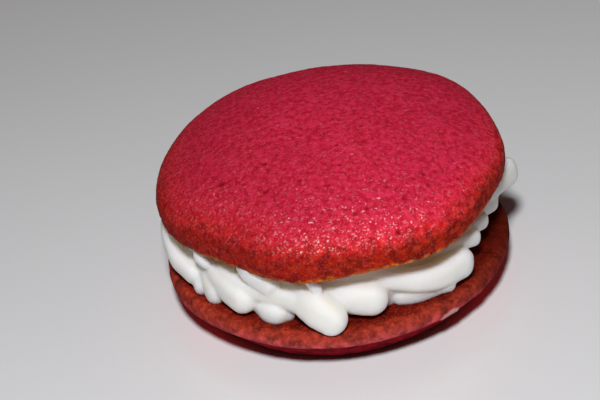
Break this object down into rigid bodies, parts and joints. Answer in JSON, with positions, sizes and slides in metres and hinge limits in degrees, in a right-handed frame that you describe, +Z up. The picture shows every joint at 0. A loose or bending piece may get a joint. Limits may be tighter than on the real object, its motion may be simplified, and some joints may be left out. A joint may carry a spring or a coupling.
{
  "type": "whoopie pie",
  "caption": "Small round sandwich cake: a domed red cake half and an upturned one around a ruffled ring of piped white cream.",
  "frame": {"origin": "middle of the pie's bounding box in plan, on the surface it stands on", "axes": "+Z up, through both cake halves; -Y is the side shown in the picture, and +X is to its right"},
  "size_m": [0.0623, 0.0604, 0.0315],
  "materials": {
    "cake_top": "soft crumbly baked skin with a faint sugary sparkle",
    "cake_underside": "porous baked face inside a smooth rim",
    "cream": "smooth piped cream with a soft sheen"
  },
  "bodies": {
    "root": {"bottom_cake": "cake_underside", "cream": "cream", "top_cake": "cake_top"}
  },
  "joints": []
}
